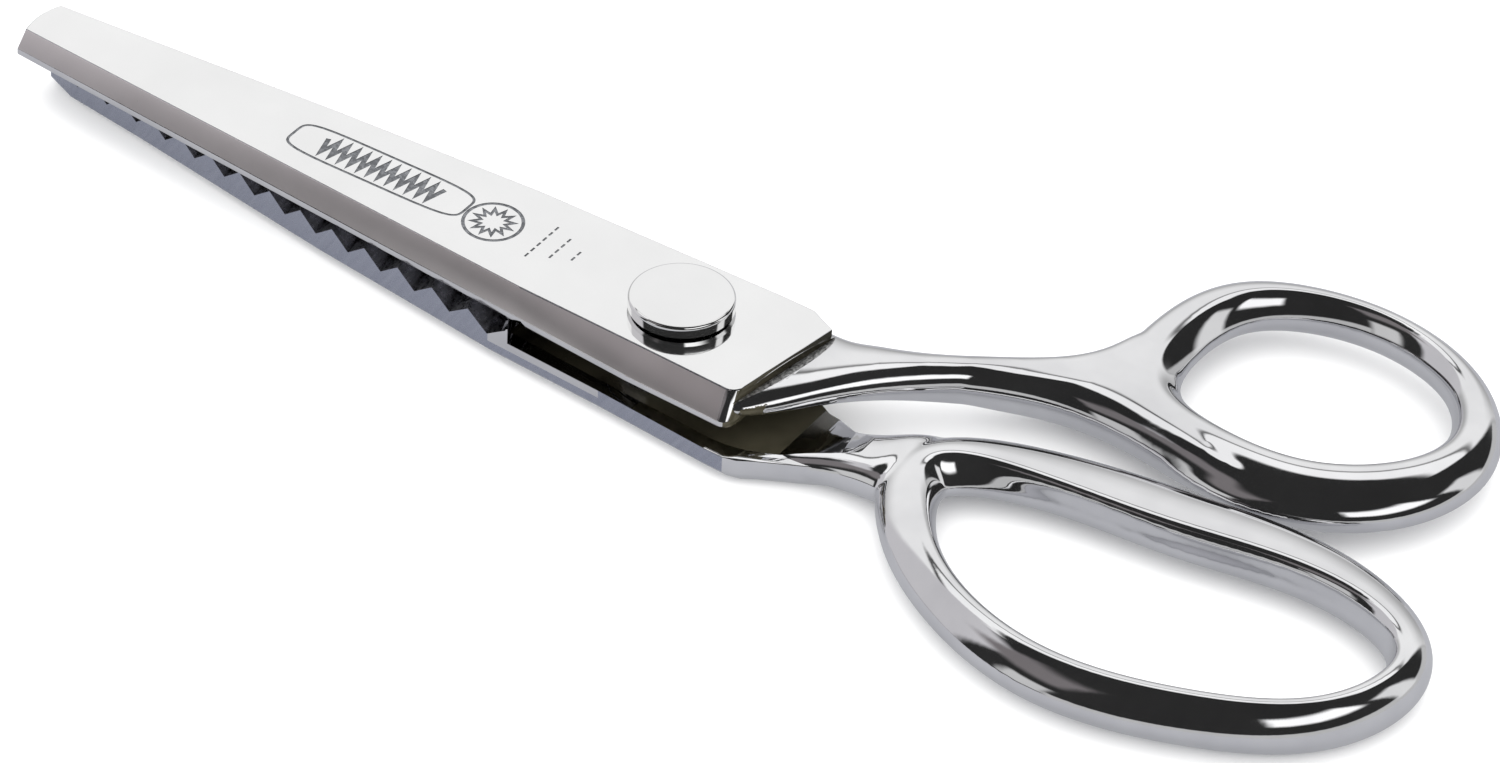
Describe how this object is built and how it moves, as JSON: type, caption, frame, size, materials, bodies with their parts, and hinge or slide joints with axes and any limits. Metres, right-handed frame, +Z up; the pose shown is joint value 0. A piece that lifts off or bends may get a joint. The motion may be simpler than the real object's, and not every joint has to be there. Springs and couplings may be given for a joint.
{
  "type": "pinking shears",
  "caption": "Pinking shears with a zigzag-toothed blade pair on a caged ball pivot, a round thumb ring and a long finger bow.",
  "frame": {"origin": "on the pivot axis at the flat end of the pivot bolt, in the plane that the shears rest on", "axes": "+Z up along the pivot axis, -X to the blade tips, +X to the handles, +Y to the thumb ring's side"},
  "size_m": [0.1911, 0.0783, 0.0109],
  "materials": {
    "member_chrome": "mirror polished plating",
    "cap_chrome": "mirror polished plating",
    "nut_steel": "turned",
    "spring_steel": "blued grey",
    "hardened_steel": "ground",
    "cage_brass": "pressed sheet"
  },
  "bodies": {
    "lower_member": {"lower_blade_and_finger_bow": "member_chrome", "lower_race": "hardened_steel", "pivot_bush": "hardened_steel"},
    "upper_member": {"upper_blade_and_thumb_ring": "member_chrome", "pivot_bolt": "cap_chrome", "pivot_nut": "nut_steel", "dished_spring_washer": "spring_steel", "upper_race": "hardened_steel"},
    "caged_balls": {"ball_cage": "cage_brass", "bearing_ball_01": "hardened_steel", "bearing_ball_02": "hardened_steel", "bearing_ball_03": "hardened_steel", "bearing_ball_04": "hardened_steel", "bearing_ball_05": "hardened_steel", "bearing_ball_06": "hardened_steel", "bearing_ball_07": "hardened_steel", "bearing_ball_08": "hardened_steel", "bearing_ball_09": "hardened_steel", "bearing_ball_10": "hardened_steel", "bearing_ball_11": "hardened_steel", "bearing_ball_12": "hardened_steel"}
  },
  "joints": [
    {"name": "blade_pivot", "type": "hinge", "parent": "lower_member", "child": "upper_member", "pos_m": [0, 0, 0.0053], "axis": [0, 0, 1], "range_deg": [0, 35]},
    {"name": "cage_turn", "type": "hinge", "parent": "lower_member", "child": "caged_balls", "pos_m": [0, 0, 0.0053], "axis": [0, 0, 1], "range_deg": [0, 18]}
  ],
  "couplings": [
    {"joint": "cage_turn", "follows": "blade_pivot", "ratio": 0.5}
  ]
}
